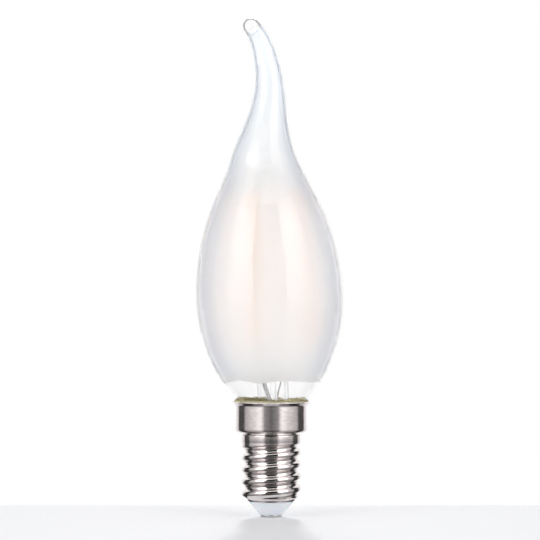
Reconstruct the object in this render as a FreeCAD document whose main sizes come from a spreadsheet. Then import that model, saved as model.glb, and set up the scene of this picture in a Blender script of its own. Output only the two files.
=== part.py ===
import FreeCAD, Part
import math
import os

import Sketcher

# Candle bulb with a bent glass tail: frosted glass, four LED filaments, an E14 screw cap and its driver.
# Millimetres. +Z runs up the cap's axis, and the origin is the middle of the centre contact's flat face.
# +X is to the viewer's right, and the viewer stands on the -Y side.
# The glass and all that is sealed in it lean a little on the cap. They are drawn about the glass's own
# axis, with heights counted from the rim plane, and carry one shared placement.

SIZES = [
    # the drawn metal sheet, with its sleeve at the crests of the rolled thread
    ("sheet_wall", 0.3, "thickness of the drawn sheet"),
    ("shell_end_radius", 5.6, "outside of the lower end"),
    ("shell_end_height", 3.7, "lower edge of the sheet"),
    ("shell_end_length", 0.35, "straight lower collar"),
    ("lead_in_height", 0.95, "cone from the collar to the sleeve"),
    ("band_radius", 6.945, "outside of the sleeve"),
    ("band_top", 19.05, "upper edge of the sleeve"),
    ("groove_radius", 6.5, "bottom of the groove over the band"),
    ("skirt_low", 19.65, "underside of the skirt"),
    ("skirt_radius", 8.5, "outside of the skirt"),
    ("skirt_corner", 1.0, "rounding of the skirt's lower corner"),
    ("rim_low", 25.95, "where the skirt starts to flare"),
    ("rim_height", 26.65, "lower edge of the flared rim"),
    ("rim_radius", 9.24, "outer edge of the rim"),
    ("rim_flare", 0.5, "bend radius of the rim"),
    # the insulator and the centre contact
    ("insulator_tip_radius", 2.75, "lower end of the cone"),
    ("insulator_seat_width", 0.1, "step that stands proud of the sheet's bore"),
    ("insulator_collar_gap", 0.05, "clearance in the sheet's bore"),
    ("insulator_collar_height", 1.7, "collar inside the sheet"),
    ("insulator_wall", 1.1, "wall of the hollow cone"),
    ("contact_radius", 2.5, "head of the contact"),
    ("contact_edge", 0.22, "bevel round the head"),
    ("contact_head", 0.5, "thickness of the head"),
    ("shank_radius", 1.05, "rivet shank"),
    ("shank_gap", 0.05, "clearance round the shank"),
    ("shank_length", 2.4, "shank above the head"),
    ("shank_bore_radius", 0.6, "hollow end of the shank"),
    # where the glass stands in the cap, and how it leans
    ("glass_seat_offset", 0.5, "glass axis to the right of the cap's axis, at the rim"),
    ("glass_seat_rise", 0.35, "level of the glass's own zero above the flared rim's lower edge"),
    ("glass_lean_angle", 2.2, "lean of the glass to the left, in degrees"),
    # the glass envelope
    ("glass_wall", 0.7, "wall of the envelope"),
    ("mouth_height", -4.7, "sealed lower edge"),
    ("neck_radius", 7.3, "neck inside the cap"),
    ("neck_bend", 3.5, "rounding from the neck to the belly"),
    ("belly_radius", 17.15, "widest half width"),
    ("belly_height", 24.0, "level of the widest place"),
    ("profile_step_angle", 4.0, "turn between the straight runs of a curved profile, in degrees"),
    ("glass_rim_gap", 0.04, "glass inside the skirt's outside radius, at its own zero"),
    ("belly_curve_high", 46.0, "profile radius above it"),
    ("shoulder_angle", 25.0, "steepest slope of the shoulder, in degrees"),
    ("tail_curve", 130.0, "profile radius of the hollow above the shoulder"),
    ("tail_root_height", 55.0, "where the tail starts to bend"),
    ("tail_swing_angle", 30.0, "turn of the bend's plane towards the viewer, in degrees"),
    ("tail_flank_rise", 9.5, "from the root"),
    ("tail_flank_shift", 1.1, "sideways in the bend's plane"),
    ("tail_flank_radius", 5.13, "half width"),
    ("tail_crook_rise", 8.5, "from the flank"),
    ("tail_crook_shift", 2.2, "sideways"),
    ("tail_crook_radius", 3.46, "half width"),
    ("tail_hook_rise", 8.3, "from the crook"),
    ("tail_hook_shift", 1.19, "sideways"),
    ("tail_hook_radius", 2.67, "half width"),
    ("tip_rise", 6.3, "from the hook to the middle of the end bead"),
    ("tip_shift", -2.12, "sideways"),
    ("tip_radius", 1.9, "radius of the end bead"),
    ("tip_turn_angle", 46.0, "direction of the tip from the axis, in degrees"),
    ("tip_glass", 1.6, "solid glass between the cavity and the bead's middle"),
    # the glass stem inside it
    ("flare_step_angle", 22.5, "turn between the straight runs of the flare, in degrees"),
    ("stem_radius", 3.65, "outside of the stem tube"),
    ("stem_wall", 0.7, "wall of the stem tube"),
    ("stem_shoulder_height", 6.0, "top of the straight tube"),
    ("press_low", 8.5, "lower edge of the press"),
    ("press_height", 4.0, "height of the press"),
    ("press_width", 6.4, "width of the press"),
    ("press_depth", 2.4, "thickness of the press"),
    ("exhaust_radius", 1.0, "outside of the exhaust tube"),
    ("exhaust_bore", 0.55, "bore radius of the exhaust tube"),
    ("exhaust_tip_height", -8.4, "sealed lower end of the exhaust tube"),
    ("rod_radius", 1.1, "glass rod"),
    ("rod_top_height", 51.2, "top of the glass rod"),
    ("button_radius", 1.7, "glass button at the rod's top"),
    # the filaments and the wires that hold them
    ("filament_azimuth", -23.0, "direction of the first filament, in degrees"),
    ("filament_low_radius", 9.2, "from the glass axis, at the lower weld"),
    ("filament_low_height", 11.0, "level of the lower weld"),
    ("filament_high_radius", 6.4, "from the glass axis, at the upper weld"),
    ("filament_high_height", 50.0, "level of the upper weld"),
    ("filament_width", 1.7, "width of the coated strip"),
    ("filament_depth", 1.1, "thickness of the coated strip"),
    ("filament_round", 0.45, "rounding of the coated strip"),
    ("tab_length", 2.9, "metal end beyond the coating"),
    ("tab_width", 0.9, "width of the metal end"),
    ("tab_depth", 0.25, "thickness of the metal end"),
    ("wire_radius", 0.3, "support and bridge wires"),
    ("wire_bend", 1.0, "bend radius of the wires"),
    ("lead_radius", 0.2, "lead wires"),
    ("lead_bend", 1.0, "bend radius of the leads"),
    ("lead_reach", 2.2, "leads from the glass axis, in the press"),
    ("lead_bend_drop", 1.4, "from the stem's shoulder down to where a lead turns aside"),
    ("lead_drift_angle", 57.0, "turn of a lead round the exhaust tube, in degrees"),
    ("lead_swing", 5.6, "height over which it turns aside"),
    ("lead_edge", 1.3, "leads from the circuit board's edges"),
    ("wire_stand", 0.9, "support wires above the press"),
    ("sleeve_radius", 0.47, "outside of the sleeve on one lead"),
    ("sleeve_low", -6.6, "lower end of the sleeve"),
    ("sleeve_high", 5.9, "upper end of the sleeve"),
    ("weld_gap", 0.02, "between welded surfaces"),
    # the driver in the cap
    ("board_width", 9.8, "width of the circuit board"),
    ("board_height", 12.6, "height of the circuit board"),
    ("board_depth", 0.8, "thickness of the circuit board"),
    ("board_front", 0.6, "front face behind the cap's axis"),
    ("capacitor_radius", 2.4, "electrolytic can"),
    ("capacitor_height", 7.6, "length of the can"),
    ("capacitor_level", 4.4, "can above the board's lower edge"),
    ("rectifier_width", 4.0, "bridge rectifier"),
    ("rectifier_height", 4.6, "bridge rectifier"),
    ("rectifier_depth", 2.3, "bridge rectifier"),
    ("rectifier_level", 1.2, "rectifier above the board's lower edge"),
    ("chip_width", 3.9, "driver chip"),
    ("chip_height", 4.4, "driver chip"),
    ("chip_depth", 1.5, "driver chip"),
    ("chip_level", 6.8, "chip above the board's lower edge"),
    ("resistor_radius", 0.9, "fusible resistor"),
    ("resistor_length", 3.4, "fusible resistor"),
    ("resistor_level", 4.4, "lower end of the resistor"),
    ("resistor_gap", 0.25, "resistor in front of the board"),
    # the capping cement
    ("cement_depth", 3.35, "from the rim down to the lower edge of the cement"),
    ("cement_rise", 1.25, "from the rim up to the upper edge of the cement"),
    ("cement_inset", 0.24, "cement inside the rim's outer edge"),
    ("cement_edge", 0.4, "rounding of its upper edge"),
]

FILAMENTS = 4
TAIL_RINGS = 14
CAVITY_RINGS = 6
Y = FreeCAD.Vector(0, 1, 0)
Z = FreeCAD.Vector(0, 0, 1)
ORIGIN = FreeCAD.Vector(0, 0, 0)

doc = FreeCAD.newDocument("candle_bulb")


def fill_sheet():
    """Write every driving size in the sheet, and give its cell an alias."""
    page = doc.addObject("Spreadsheet::Sheet", "Sizes")
    for row, (alias, number, note) in enumerate(SIZES, 1):
        page.set(f"A{row}", alias)
        page.set(f"B{row}", str(number))
        page.set(f"C{row}", note)
        page.setAlias(f"B{row}", alias)
    doc.recompute()
    return page


sheet = fill_sheet()


def size(alias):
    return float(sheet.get(alias))


GLASS_PLACE = (
    "placement(vector(Sizes.glass_seat_offset; 0; Sizes.rim_height + Sizes.glass_seat_rise);"
    " rotation(vector(0; 1; 0); -Sizes.glass_lean_angle))"
)


def glass_seat():
    """The level of the glass's own zero."""
    return size("rim_height") + size("glass_seat_rise")


def glass_placement():
    """The shared placement of the glass and all that it holds."""
    seat = FreeCAD.Vector(size("glass_seat_offset"), 0, glass_seat())
    return FreeCAD.Placement(seat, FreeCAD.Rotation(Y, -size("glass_lean_angle")))


def at(radius, degrees, height):
    """A point by its distance from an axis, its direction round it and its height."""
    angle = math.radians(degrees)
    return FreeCAD.Vector(radius * math.cos(angle), radius * math.sin(angle), height)


def section(radius, height):
    return FreeCAD.Vector(radius, 0, height)


# Outlines of bent sheet, in the half plane of the axis


def inset_corners(points, inset):
    """The corners of an open outline moved inwards, towards the axis side, by one wall."""
    runs = [(b - a).normalize() for a, b in zip(points, points[1:])]
    normals = [FreeCAD.Vector(-run.z, 0, run.x) for run in runs]
    moved = [points[0] + normals[0] * inset]
    for corner, before, after in zip(points[1:], normals, normals[1:]):
        moved.append(corner + (before + after) * (inset / (1 + before.dot(after))))
    moved.append(points[-1] + normals[-1] * inset)
    return moved


def tangent_arc(before, corner, after, bend):
    """Start, middle and end of the arc that rounds one corner."""
    back = (before - corner).normalize()
    ahead = (after - corner).normalize()
    half = back.getAngle(ahead) / 2
    reach = bend / math.tan(half)
    middle = corner + (back + ahead).normalize() * (bend / math.sin(half) - bend)
    return corner + back * reach, middle, corner + ahead * reach


def folded(points, bends):
    """The corners of an outline, each rounded one replaced by the ends and middle of its arc."""
    run = [points[0]]
    for before, corner, after, bend in zip(points, points[1:], points[2:], bends):
        run += tangent_arc(before, corner, after, bend) if bend else [corner]
    return run + [points[-1]]


def inset_bends(points, bends, inset):
    """Bend radii after the move: smaller on the inside of a bend, larger on its outside."""
    new = []
    for before, corner, after, bend in zip(points, points[1:], points[2:], bends):
        turn = (corner - before).cross(after - corner).y
        new.append(max(bend + math.copysign(inset, turn), 0) if bend else 0)
    return new


def turned(points):
    """A solid of revolution about Z from the corners of a closed outline."""
    return Part.Face(Part.makePolygon(points + points[:1])).revolve(ORIGIN, Z, 360)


def bent_sheet(points, bends, wall):
    """A turned wall of even thickness whose outer side follows the outline."""
    inner = folded(inset_corners(points, wall), inset_bends(points, bends, wall))
    return turned(folded(points, bends) + inner[::-1])


# The screw shell


def shell_outline():
    """Collar, lead-in cone, sleeve, groove, skirt and turned-out rim: corners and bend radii."""
    low = size("shell_end_height")
    collar = low + size("shell_end_length")
    band = size("band_radius")
    groove = size("groove_radius")
    corners = [
        section(size("shell_end_radius"), low),
        section(size("shell_end_radius"), collar),
        section(band, collar + size("lead_in_height")),
        section(band, size("band_top")),
        section(groove, size("band_top") + (band - groove) / 2),
        section(groove, size("skirt_low")),
        section(size("skirt_radius"), size("skirt_low")),
        section(size("skirt_radius"), size("rim_low")),
        section(size("rim_radius"), size("rim_height")),
    ]
    return corners, [0, 0, 0, 0, 0, size("skirt_corner"), size("rim_flare")]


def screw_shell():
    """One drawn sheet from the collar to the rim."""
    corners, bends = shell_outline()
    return bent_sheet(corners, bends, size("sheet_wall"))


# Document objects


def feature(label, shape, placement=None):
    """A sub-part whose shape is worked out above from the sheet's sizes."""
    item = doc.addObject("Part::Feature", label)
    item.Label = label
    item.Shape = shape
    if placement:
        item.Placement = placement
    return item


def bound(item, **texts):
    """Bind properties of an object to expressions in the sheet's aliases."""
    for name, text in texts.items():
        item.setExpression(name, text)
    return item


def outline_sketch(body, plane, corners):
    """A closed outline in one of the body's own planes. Two bound distances hold each corner."""
    sketch = body.newObject("Sketcher::SketchObject", body.Name + "_outline")
    support = next(f for f in body.Origin.OriginFeatures if f.Role == plane)
    sketch.AttachmentSupport = [(support, "")]
    sketch.MapMode = "FlatFace"
    count = len(corners)
    rough = [at(1, 360 * i / count, 0) for i in range(count)]
    for i in range(count):
        sketch.addGeometry(Part.LineSegment(rough[i], rough[(i + 1) % count]))
    for i in range(count):
        sketch.addConstraint(Sketcher.Constraint("Coincident", i, 2, (i + 1) % count, 1))
    for i, (across, up) in enumerate(corners):
        for kind, text in (("DistanceX", across), ("DistanceY", up)):
            number = sketch.addConstraint(Sketcher.Constraint(kind, -1, 1, i, 1, 1.0))
            sketch.setExpression(f"Constraints[{number}]", text)
    return sketch


def turned_body(label, corners):
    """A body turned from a half outline, given as pairs of radius and height."""
    body = doc.addObject("PartDesign::Body", label)
    body.Label = label
    sketch = outline_sketch(body, "XZ_Plane", corners)
    turn = body.newObject("PartDesign::Revolution", label + "_turn")
    turn.Profile = sketch
    turn.ReferenceAxis = (sketch, ["V_Axis"])
    turn.Angle = 360
    return body


def box(label, width, depth, height, place):
    """A block centred on its place, which is its lower face's middle."""
    item = doc.addObject("Part::Box", label)
    item.Label = label
    bound(item, Length=width, Width=depth, Height=height)
    centred = f"placement(vector(-({width}) / 2; -({depth}) / 2; 0); rotation(vector(0; 0; 1); 0))"
    return bound(item, Placement=f"{place} * {centred}")


def upright(across, back, up):
    """A placement text without a turn."""
    return f"placement(vector({across}; {back}; {up}); rotation(vector(0; 0; 1); 0))"


def cut(label, base, tool):
    item = doc.addObject("Part::Cut", label)
    item.Label = label
    item.Base = base
    item.Tool = tool
    return item


def joined(name, *items):
    item = doc.addObject("Part::MultiFuse", name)
    item.Shapes = list(items)
    return item


def bent_wire(points, radius, bend):
    """A round wire along straight runs, with two folds at each bend."""
    run = [points[0]]
    for before, corner, after in zip(points, points[1:], points[2:]):
        first, middle, last = tangent_arc(before, corner, after, bend)
        run += [first, last]
    path = Part.makePolygon(run + [points[-1]])
    way = (points[1] - points[0]).normalize()
    disc = Part.Wire(Part.makeCircle(radius, points[0], way))
    return path.makePipeShell([disc], True, True, 1)


# The cap's turned pieces


def centre_contact():
    head = "Sizes.contact_head"
    top = "Sizes.contact_head + Sizes.shank_length"
    return turned_body("centre_contact", [
        ("0", "0"),
        ("Sizes.contact_radius - Sizes.contact_edge", "0"),
        ("Sizes.contact_radius", "Sizes.contact_edge"),
        ("Sizes.contact_radius", head),
        ("Sizes.shank_radius", head),
        ("Sizes.shank_radius", top),
        ("Sizes.shank_bore_radius", top),
        ("Sizes.shank_bore_radius", head + " * 2"),
        ("0", head + " * 2"),
    ])


def insulator():
    """The pale cone. Its collar sits in the sheet's lower end, and its step carries the sheet's edge."""
    seat = "Sizes.shell_end_height"
    bore = "Sizes.shell_end_radius - Sizes.sheet_wall"
    collar = bore + " - Sizes.insulator_collar_gap"
    top = seat + " + Sizes.insulator_collar_height"
    hole = "Sizes.shank_radius + Sizes.shank_gap"
    return turned_body("insulator", [
        (hole, "Sizes.contact_head"),
        ("Sizes.insulator_tip_radius", "Sizes.contact_head"),
        (bore + " + Sizes.insulator_seat_width", seat),
        (collar, seat),
        (collar, top),
        (collar + " - Sizes.insulator_wall", top),
        (collar + " - Sizes.insulator_wall", seat + " + Sizes.insulator_wall / 2"),
        (hole + " + Sizes.insulator_wall / 2", "Sizes.contact_head + Sizes.insulator_wall"),
        (hole, "Sizes.contact_head + Sizes.insulator_wall"),
    ])


# The glass


def arc_point(centre, radius, degrees):
    angle = math.radians(degrees)
    return centre + section(radius * math.cos(angle), radius * math.sin(angle))


def arc_run(centre, radius, first, last, step):
    """Points along an arc of the profile, both ends included, at most one step apart."""
    count = max(math.ceil(abs(last - first) / step), 1)
    return [arc_point(centre, radius, first + (last - first) * i / count) for i in range(count + 1)]


def bulb_profile(inset, step):
    """Half outline of the envelope from its mouth to the tail's root, moved inwards by the inset."""
    neck = size("neck_radius") - inset
    belly = section(size("belly_radius"), size("belly_height"))
    # the lower curve passes just inside the skirt's radius at the glass's own zero
    bulge = size("belly_radius") - size("skirt_radius") + size("glass_rim_gap")
    low_curve = (bulge**2 + size("belly_height") ** 2) / (2 * bulge)
    low = belly - section(low_curve, 0)
    high = belly - section(size("belly_curve_high"), 0)
    # the neck's rounding touches the neck and the lower curve from outside
    bend = size("neck_bend") + inset
    across = neck + bend - low.x
    drop = math.sqrt((low_curve - inset + bend) ** 2 - across**2)
    pivot = section(neck + bend, low.z - drop)
    neck_turn = math.degrees(math.atan2(drop, across))
    # the hollow above the shoulder touches the upper curve from outside, and ends at the root
    shoulder = size("shoulder_angle")
    hollow = arc_point(high, size("belly_curve_high") + size("tail_curve"), shoulder)
    hollow_curve = size("tail_curve") + inset
    root_turn = math.degrees(math.asin((hollow.z - size("tail_root_height")) / hollow_curve))
    return (
        [section(neck, size("mouth_height"))]
        + arc_run(pivot, bend, 180, 180 - neck_turn, 3 * step)
        + arc_run(low, low_curve - inset, -neck_turn, 0, step)[1:]
        + arc_run(high, size("belly_curve_high") - inset, 0, shoulder, step)[1:]
        + arc_run(hollow, hollow_curve, 180 + shoulder, 180 + root_turn, step)[1:]
    )


def tail_course(root_radius):
    """The tail's centre line in its plane and its half width along it, as two smooth curves."""
    height = size("tail_root_height")
    stops = [FreeCAD.Vector(0, 0, height)]
    widths = [root_radius]
    for name in ("tail_flank", "tail_crook", "tail_hook"):
        height += size(name + "_rise")
        stops.append(section(size(name + "_shift"), height))
        widths.append(size(name + "_radius"))
    stops.append(section(size("tip_shift"), height + size("tip_rise")))
    widths.append(size("tip_radius"))
    turn = math.radians(size("tip_turn_angle"))
    line = Part.BSplineCurve()
    line.interpolate(
        Points=stops, InitialTangent=Z, FinalTangent=section(-math.sin(turn), math.cos(turn))
    )
    lengths = [line.length(line.FirstParameter, line.parameter(stop)) for stop in stops]
    width = Part.BSplineCurve()
    width.interpolate([section(r, s) for r, s in zip(widths, lengths)])
    return line, width, lengths[-1]


def tail(root_radius, inset, short, count):
    """The bent tail as rings across its centre line. The cavity's tail stops short of the bead."""
    line, width, length = tail_course(root_radius + inset)
    swing = FreeCAD.Placement(ORIGIN, FreeCAD.Rotation(Z, size("tail_swing_angle")))
    rings = []
    for i in range(count + 1):
        reach = (length - short) * i / count
        spot = line.parameterAtDistance(reach)
        low, high = width.FirstParameter, width.LastParameter
        for _ in range(40):
            share = (low + high) / 2
            low, high = (share, high) if width.value(share).z < reach else (low, share)
        radius = width.value(share).x - inset
        ring = Part.Wire(Part.makeCircle(radius, line.value(spot), line.tangent(spot)[0]))
        rings.append(ring.transformed(swing.Matrix))
    return rings


def glass_form(inset, short, step, rings):
    """The solid inside the envelope's outer side (no inset) or inner side (one wall)."""
    profile = bulb_profile(inset, step)
    bulb = turned([section(0, profile[0].z)] + profile + [section(0, profile[-1].z)])
    bent = tail(profile[-1].x, inset, short, rings)
    end = bent[-1].Edges[0].Curve
    bead = Part.makeSphere(end.Radius, end.Center, end.Axis, 0, 90, 360)
    return bulb.fuse([Part.makeLoft(bent, True, inset > 0), bead]).removeSplitter()


def glass_envelope():
    outer = glass_form(0, 0, size("profile_step_angle"), TAIL_RINGS)
    inner = glass_form(size("glass_wall"), size("tip_glass"), size("profile_step_angle") * 3, CAVITY_RINGS)
    return outer, outer.cut(inner)


def flare_bend():
    """The flare's quarter turn spans from the stem tube to the envelope's bore."""
    return size("neck_radius") - size("glass_wall") - size("stem_radius")


def flare_run(bend):
    """Points of the flare's quarter turn, from its lip's level up to the stem tube."""
    centre = section(size("stem_radius") + flare_bend(), size("mouth_height") + flare_bend())
    return arc_run(centre, bend, 270, 180, size("flare_step_angle"))


def glass_stem():
    """One piece of glass: flare, stem tube, press, rod with its button, and exhaust tube."""
    wall = size("stem_wall")
    mouth = size("mouth_height")
    press = size("press_low")
    bore = size("stem_radius") - wall
    rod = size("rod_radius")
    button = size("button_radius")
    top = size("rod_top_height")
    outline = (
        [section(size("neck_radius"), mouth)]
        + flare_run(flare_bend())
        + [
            section(size("stem_radius"), size("stem_shoulder_height")),
            section(rod, press + wall),
            section(rod, top - button),
            section(button, top - button / 2),
            section(button, top + button / 2),
            section(button / 2, top + button),
            section(0, top + button),
            section(0, press - wall / 2),
            section(bore, size("stem_shoulder_height")),
        ]
        + flare_run(flare_bend() + wall)[::-1]
        + [section(size("neck_radius"), mouth - wall)]
    )
    tip = size("exhaust_tip_height")
    outside = size("exhaust_radius")
    inside = size("exhaust_bore")
    exhaust = [
        section(0, tip),
        section(outside / 2, tip + outside / 4),
        section(outside, tip + outside),
        section(outside, press),
        section(inside, press),
        section(inside, tip + outside * 2),
        section(0, tip + outside * 2),
    ]
    pinch = Part.makeBox(size("press_width"), size("press_depth"), size("press_height"))
    pinch.translate(FreeCAD.Vector(-size("press_width") / 2, -size("press_depth") / 2, press))
    pinch.rotate(ORIGIN, Z, lead_azimuth(0))
    return turned(outline).fuse([turned(exhaust), pinch]).removeSplitter()


# Wires and filaments, about the glass's own axis


def lead_azimuth(side):
    """The two leads stand between neighbouring filaments, on opposite sides."""
    return size("filament_azimuth") + 45 + 180 * side


def weld_run(azimuth, low):
    """Two points behind a filament's metal end: at the weld, and further along the filament."""
    feet = at(size("filament_low_radius"), azimuth, size("filament_low_height"))
    heads = at(size("filament_high_radius"), azimuth, size("filament_high_height"))
    along = (heads - feet).normalize()
    across = along.cross(at(1, azimuth + 90, 0))
    behind = across * (size("wire_radius") + size("tab_depth") / 2 + size("weld_gap"))
    inwards = behind if behind.dot(at(1, azimuth, 0)) < 0 else -behind
    reach = along * (size("tab_length") * 0.8)
    return (feet + inwards, feet + inwards + reach) if low else (heads + inwards, heads + inwards - reach)


def cross_wire(azimuth, low):
    """A wire that joins two neighbouring filaments' ends past a point near the axis."""
    if low:
        middle = at(size("lead_reach"), azimuth, size("press_low") + size("press_height") + size("wire_stand"))
    else:
        middle = at(size("button_radius") / 2, azimuth, size("rod_top_height"))
    near, end = weld_run(azimuth - 45, low)
    far_near, far_end = weld_run(azimuth + 45, low)
    return bent_wire([end, near, middle, far_near, far_end], size("wire_radius"), size("wire_bend"))


def lead_course(side):
    """Corners of a lead: down through the press and the stem tube, and out to the circuit board."""
    top = size("press_low") + size("press_height") + size("wire_stand")
    reach = size("lead_reach")
    azimuth = lead_azimuth(side)
    swing = size("lead_swing")
    start = top - size("wire_radius") - size("lead_radius")
    drift = size("lead_drift_angle")
    within = [
        at(reach, azimuth, start),
        at(reach, azimuth, size("stem_shoulder_height") - size("lead_bend_drop")),
        at(reach, azimuth + drift, size("stem_shoulder_height") - size("lead_bend_drop") - swing),
        at(reach * 1.3, azimuth + drift / 2, size("exhaust_tip_height") + size("exhaust_radius") / 2),
    ]
    seat = glass_placement()
    board = size("board_front") - size("lead_radius") - size("weld_gap")
    if side == 0:
        board = size("board_front") + size("board_depth") + size("lead_radius") + size("weld_gap")
    across = (1 - 2 * side) * (size("board_width") / 2 - size("lead_edge"))
    top_edge = board_foot() + size("board_height")
    return [seat.multVec(p) for p in within] + [
        FreeCAD.Vector(across, board, top_edge + size("lead_edge")),
        FreeCAD.Vector(across, board, top_edge - size("lead_edge")),
    ]


def board_foot():
    """The circuit board stands on the insulator's collar."""
    return size("shell_end_height") + size("insulator_collar_height")


def by_height(first, last, height):
    """The point of a straight run at one height."""
    return first + (last - first) * ((height - first.z) / (last.z - first.z))


def lead_sleeve():
    """The insulating sleeve on the front lead, along its runs inside the stem tube."""
    course = lead_course(1)
    seat = glass_seat()
    top = by_height(course[0], course[1], seat + size("sleeve_high"))
    end = by_height(course[2], course[3], seat + size("sleeve_low"))
    return bent_wire([top, course[1], course[2], end], size("sleeve_radius"), size("lead_bend"))


def cement_low():
    return size("rim_height") - size("cement_depth")


def cement_high():
    return size("rim_height") + size("cement_rise")


def neutral_wire():
    """From the board's back face up to the skirt, where it is pinched against the sheet."""
    back = size("board_front") + size("board_depth") + size("lead_radius") + size("weld_gap")
    across = size("lead_edge") - size("board_width") / 2
    wall = size("skirt_radius") - size("sheet_wall") - size("lead_radius") - size("weld_gap")
    top = board_foot() + size("board_height")
    points = [
        FreeCAD.Vector(across, back, top - size("lead_edge")),
        FreeCAD.Vector(across, back, top + size("lead_edge")),
        FreeCAD.Vector(0, wall, size("skirt_low") + size("skirt_corner")),
        FreeCAD.Vector(0, wall, cement_low() - size("lead_radius")),
    ]
    return bent_wire(points, size("lead_radius"), size("lead_bend"))


def fusible_resistor():
    """Ceramic body with its two welded leads: one stands in the rivet, the other meets the board."""
    face = size("board_front")
    back = face - size("resistor_gap") - size("resistor_radius")
    low = size("resistor_level")
    high = low + size("resistor_length")
    thin = size("lead_radius")
    floor = 2 * size("contact_head")
    body = Part.makeCylinder(size("resistor_radius"), high - low, FreeCAD.Vector(0, back, low))
    foot = [
        FreeCAD.Vector(0, back, low),
        FreeCAD.Vector(0, back, low - thin * 3),
        FreeCAD.Vector(0, 0, size("contact_head") + size("shank_length") + thin),
        FreeCAD.Vector(0, 0, floor),
    ]
    pad = face - thin - size("weld_gap")
    tail_end = [
        FreeCAD.Vector(0, back, high),
        FreeCAD.Vector(0, back, high + thin * 3),
        FreeCAD.Vector(0, pad, high + thin * 6),
        FreeCAD.Vector(0, pad, high + thin * 9),
    ]
    return body.fuse([bent_wire(foot, thin, thin), bent_wire(tail_end, thin, thin)]).removeSplitter()


def capping_cement(glass):
    """The ring of cement between the neck and the skirt, squeezed up a little over the rim."""
    corners, bends = shell_outline()
    wall = size("sheet_wall")
    inner = inset_corners(corners, wall)
    curved = tangent_arc(*inner[-3:], inset_bends(corners, bends, wall)[-1])
    low = cement_low()
    edge = size("cement_edge")
    outside = size("rim_radius") - size("cement_inset")
    root = size("neck_radius") - size("glass_wall")
    ring = turned(
        [section(root, low), section(inner[-3].x, low)]
        + list(curved)
        + [
            section(outside, inner[-1].z),
            section(outside, cement_high() - edge),
            section(outside - edge, cement_high()),
            section(root, cement_high()),
        ]
    )
    return ring.cut(glass)


SPAN = (
    "sqrt((Sizes.filament_low_radius - Sizes.filament_high_radius)^2"
    " + (Sizes.filament_high_height - Sizes.filament_low_height)^2)"
)
TILT = (
    "atan((Sizes.filament_low_radius - Sizes.filament_high_radius)"
    " / (Sizes.filament_high_height - Sizes.filament_low_height))"
)


def filament_place(number, rise):
    """Placement text of a filament's axis, at a rise along it from the lower weld."""
    return (
        f"{GLASS_PLACE} * placement(vector(0; 0; 0);"
        f" rotation(vector(0; 0; 1); Sizes.filament_azimuth + {number} * 90))"
        " * placement(vector(Sizes.filament_low_radius; 0; Sizes.filament_low_height);"
        f" rotation(vector(0; 1; 0); -{TILT})) * {upright('0', '0', rise)}"
    )


def filament(number):
    """A strip of LED dies under a phosphor coat with bevelled corners."""
    body = doc.addObject("PartDesign::Body", f"filament_{number + 1}")
    body.Label = f"filament_{number + 1}"
    deep = "Sizes.filament_depth / 2"
    wide = "Sizes.filament_width / 2"
    bevel = " - Sizes.filament_round"
    corners = []
    for across, along in ((1, 1), (-1, 1), (-1, -1), (1, -1)):
        ends = [
            (f"{across} * ({deep})", f"{along} * ({wide}{bevel})"),
            (f"{across} * ({deep}{bevel})", f"{along} * ({wide})"),
        ]
        corners += ends if across == along else ends[::-1]
    sketch = outline_sketch(body, "XY_Plane", corners)
    pad = body.newObject("PartDesign::Pad", body.Name + "_pad")
    pad.Profile = sketch
    bound(pad, Length=f"{SPAN} - 2 * Sizes.tab_length")
    return bound(body, Placement=filament_place(number, "Sizes.tab_length"))


def filament_tab(number, name, rise):
    """The metal end of a filament, to which a wire is welded."""
    label = f"filament_{number + 1}_{name}_tab"
    return box(
        label, "Sizes.tab_depth", "Sizes.tab_width", "Sizes.tab_length", filament_place(number, rise)
    )


# The driver


def board_place(across, level, back):
    """Placement text on the circuit board: across it, above its lower edge, behind the cap's axis."""
    foot = "Sizes.shell_end_height + Sizes.insulator_collar_height"
    return upright(across, back, f"{foot} + {level}")


def driver():
    """The circuit board with the parts soldered to it."""
    face = "Sizes.board_front"
    rear = face + " + Sizes.board_depth"
    can = doc.addObject("Part::Cylinder", "smoothing_capacitor")
    bound(
        can,
        Radius="Sizes.capacitor_radius",
        Height="Sizes.capacitor_height",
        Placement=board_place("0", "Sizes.capacitor_level", face + " - Sizes.capacitor_radius"),
    )
    return [
        box(
            "circuit_board",
            "Sizes.board_width",
            "Sizes.board_depth",
            "Sizes.board_height",
            board_place("0", "0", face + " + Sizes.board_depth / 2"),
        ),
        box(
            "bridge_rectifier",
            "Sizes.rectifier_width",
            "Sizes.rectifier_depth",
            "Sizes.rectifier_height",
            board_place("0", "Sizes.rectifier_level", rear + " + Sizes.rectifier_depth / 2"),
        ),
        box(
            "driver_chip",
            "Sizes.chip_width",
            "Sizes.chip_depth",
            "Sizes.chip_height",
            board_place("0", "Sizes.chip_level", rear + " + Sizes.chip_depth / 2"),
        ),
        can,
    ]


# The whole bulb

in_glass = glass_placement()
outer_glass, hollow_glass = glass_envelope()
outer_glass.Placement = in_glass
leads = [bent_wire(lead_course(side), size("lead_radius"), size("lead_bend")) for side in (0, 1)]
cross_wires = {}
for name, low, quarter in (("support_wire", True, 45), ("bridge_wire", False, 135)):
    for number in (0, 1):
        azimuth = size("filament_azimuth") + quarter + 180 * number
        wire = cross_wire(azimuth, low)
        wire.Placement = in_glass
        cross_wires[f"{name}_{number + 1}"] = wire

stem = glass_stem()
stem.Placement = in_glass
stem = stem.cut(leads + list(cross_wires.values()))

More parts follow.
